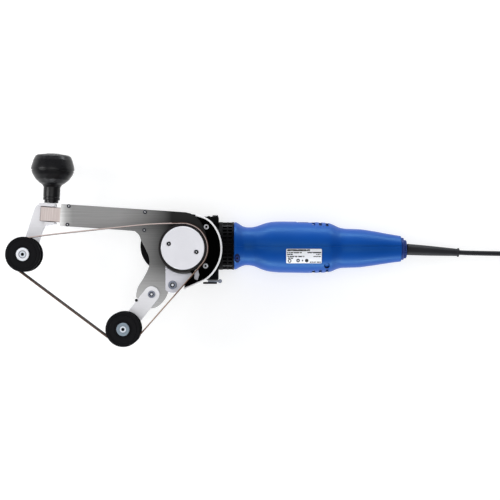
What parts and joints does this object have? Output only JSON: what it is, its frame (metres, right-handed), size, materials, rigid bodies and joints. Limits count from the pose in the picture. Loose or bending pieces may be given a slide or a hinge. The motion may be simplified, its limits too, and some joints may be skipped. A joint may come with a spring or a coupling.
{
  "type": "pipe belt grinder",
  "caption": "Corded pipe belt grinder: blue motor body, angle gear head, contact wheel and two idler rollers on a steel frame with a narrow abrasive belt.",
  "frame": {"origin": "on the drive spindle axis, at the outer face of the gear head back cover, which is the table plane", "axes": "+X along the motor body towards the cord, +Z along the spindle away from the table"},
  "size_m": [0.9812, 0.2943, 0.1314],
  "materials": {
    "blue_plastic": "satin moulded ABS, slight pebble",
    "dark_blue_plastic": "satin moulded ring",
    "black_plastic": "satin moulded",
    "roller_plastic": "turned black plastic",
    "plug_rubber": "matt moulded",
    "black_casting": "black coated casting",
    "guard_paint": "black coated sheet, bare bright rim",
    "machined_steel": "machined",
    "lamination": "stacked sheet",
    "stainless": "brushed stainless sheet",
    "aluminium": "milled, natural",
    "bright_disc": "satin turned",
    "zinc_plated": "blue zinc plate",
    "wheel_rubber": "ground rubber tyre",
    "abrasive": "cloth-backed abrasive",
    "label_film": null,
    "copper": "enamelled winding on core",
    "brass": "machined",
    "cord_rubber": "matt rubber sheath",
    "tie_fabric": "woven hook-and-loop tie"
  },
  "bodies": {
    "grinder_body": {"gear_head_housing": "black_casting", "gear_head_back_cover": "black_casting", "motor_neck_ring": "black_casting", "spindle_bearing_lower": "machined_steel", "spindle_bearing_upper": "machined_steel", "belt_guard": "guard_paint", "guard_screw_upper": "zinc_plated", "guard_screw_lower": "zinc_plated", "frame_plate": "stainless", "arm_screw_front_upper": "zinc_plated", "arm_screw_front_lower": "zinc_plated", "arm_screw_rear_upper": "zinc_plated", "arm_screw_rear_lower": "zinc_plated", "arm_end_block": "aluminium", "arm_channel": "stainless", "tension_spring": "machined_steel", "wheel_bracket": "aluminium", "wheel_bracket_screw": "zinc_plated", "abrasive_belt": "abrasive", "housing_shell_upper": "blue_plastic", "housing_shell_lower": "blue_plastic", "rating_plate": "label_film", "housing_screw_front": "zinc_plated", "housing_screw_rear": "zinc_plated", "rear_cap": "dark_blue_plastic", "switch_module": "black_plastic", "front_motor_bearing": "machined_steel", "rear_motor_bearing": "machined_steel", "stator": "lamination", "brush_upper": "brass", "brush_lower": "brass", "strain_relief": "cord_rubber", "mains_cord": "cord_rubber", "cord_coil": "cord_rubber", "cord_tie": "tie_fabric", "mains_plug": "plug_rubber"},
    "wheel_spindle": {"spindle": "machined_steel", "crown_gear": "machined_steel", "wheel_hub": "aluminium", "wheel_tyre": "wheel_rubber", "wheel_disc": "bright_disc", "disc_screw_left": "zinc_plated", "disc_screw_right": "zinc_plated"},
    "rotor": {"rotor_shaft": "machined_steel", "rotor_core": "copper", "commutator": "brass", "cooling_fan": "black_plastic", "bevel_pinion": "machined_steel"},
    "tension_slide": {"slide_bar": "aluminium", "front_bracket": "aluminium", "knob": "black_plastic", "front_axle": "zinc_plated"},
    "front_roller": {"front_roller": "roller_plastic"},
    "lower_arm": {"lower_link": "aluminium", "link_pivot_screw": "zinc_plated", "lower_axle": "zinc_plated"},
    "lower_roller": {"lower_roller": "roller_plastic"},
    "slide_switch": {"slide_switch": "black_plastic"},
    "spindle_lock_button": {"spindle_lock_button": "black_plastic"},
    "guard_clamp_lever": {"guard_clamp_lever": "zinc_plated"}
  },
  "joints": [
    {"name": "rotor_spin", "type": "hinge", "parent": "grinder_body", "child": "rotor", "pos_m": [0.05, 0, 0.04], "axis": [1, 0, 0], "continuous": true},
    {"name": "wheel_spin", "type": "hinge", "parent": "grinder_body", "child": "wheel_spindle", "pos_m": [0, 0, 0.05], "axis": [0, 0, 1], "continuous": true},
    {"name": "tension_slide", "type": "slide", "parent": "grinder_body", "child": "tension_slide", "axis": [0.9977, -0.068, 0], "range_m": [0, 0.0065], "stiffness_N_per_m": 1500, "springref_m": -0.02, "deforming": ["tension_spring"]},
    {"name": "front_roller_spin", "type": "hinge", "parent": "tension_slide", "child": "front_roller", "pos_m": [-0.24, -0.0095, 0.11], "axis": [0, 0, 1], "continuous": true},
    {"name": "lower_arm_swing", "type": "hinge", "parent": "grinder_body", "child": "lower_arm", "pos_m": [-0.0487, -0.0704, 0.09], "axis": [0, 0, 1], "range_deg": [-25, 0]},
    {"name": "lower_roller_spin", "type": "hinge", "parent": "lower_arm", "child": "lower_roller", "pos_m": [-0.0894, -0.1221, 0.11], "axis": [0, 0, 1], "continuous": true},
    {"name": "switch_slide", "type": "slide", "parent": "grinder_body", "child": "slide_switch", "axis": [1, 0, 0], "range_m": [0, 0.005]},
    {"name": "spindle_lock_press", "type": "slide", "parent": "grinder_body", "child": "spindle_lock_button", "axis": [0, -1, 0], "range_m": [0, 0.003], "stiffness_N_per_m": 900, "springref_m": -0.004},
    {"name": "guard_clamp_swing", "type": "hinge", "parent": "grinder_body", "child": "guard_clamp_lever", "pos_m": [0.0556, -0.0509, 0.065], "axis": [0, 0, 1], "range_deg": [0, 90]}
  ],
  "couplings": [
    {"joint": "wheel_spin", "follows": "rotor_spin", "ratio": 0.32258},
    {"joint": "front_roller_spin", "follows": "rotor_spin", "ratio": 0.50488},
    {"joint": "lower_roller_spin", "follows": "rotor_spin", "ratio": 0.50488}
  ]
}
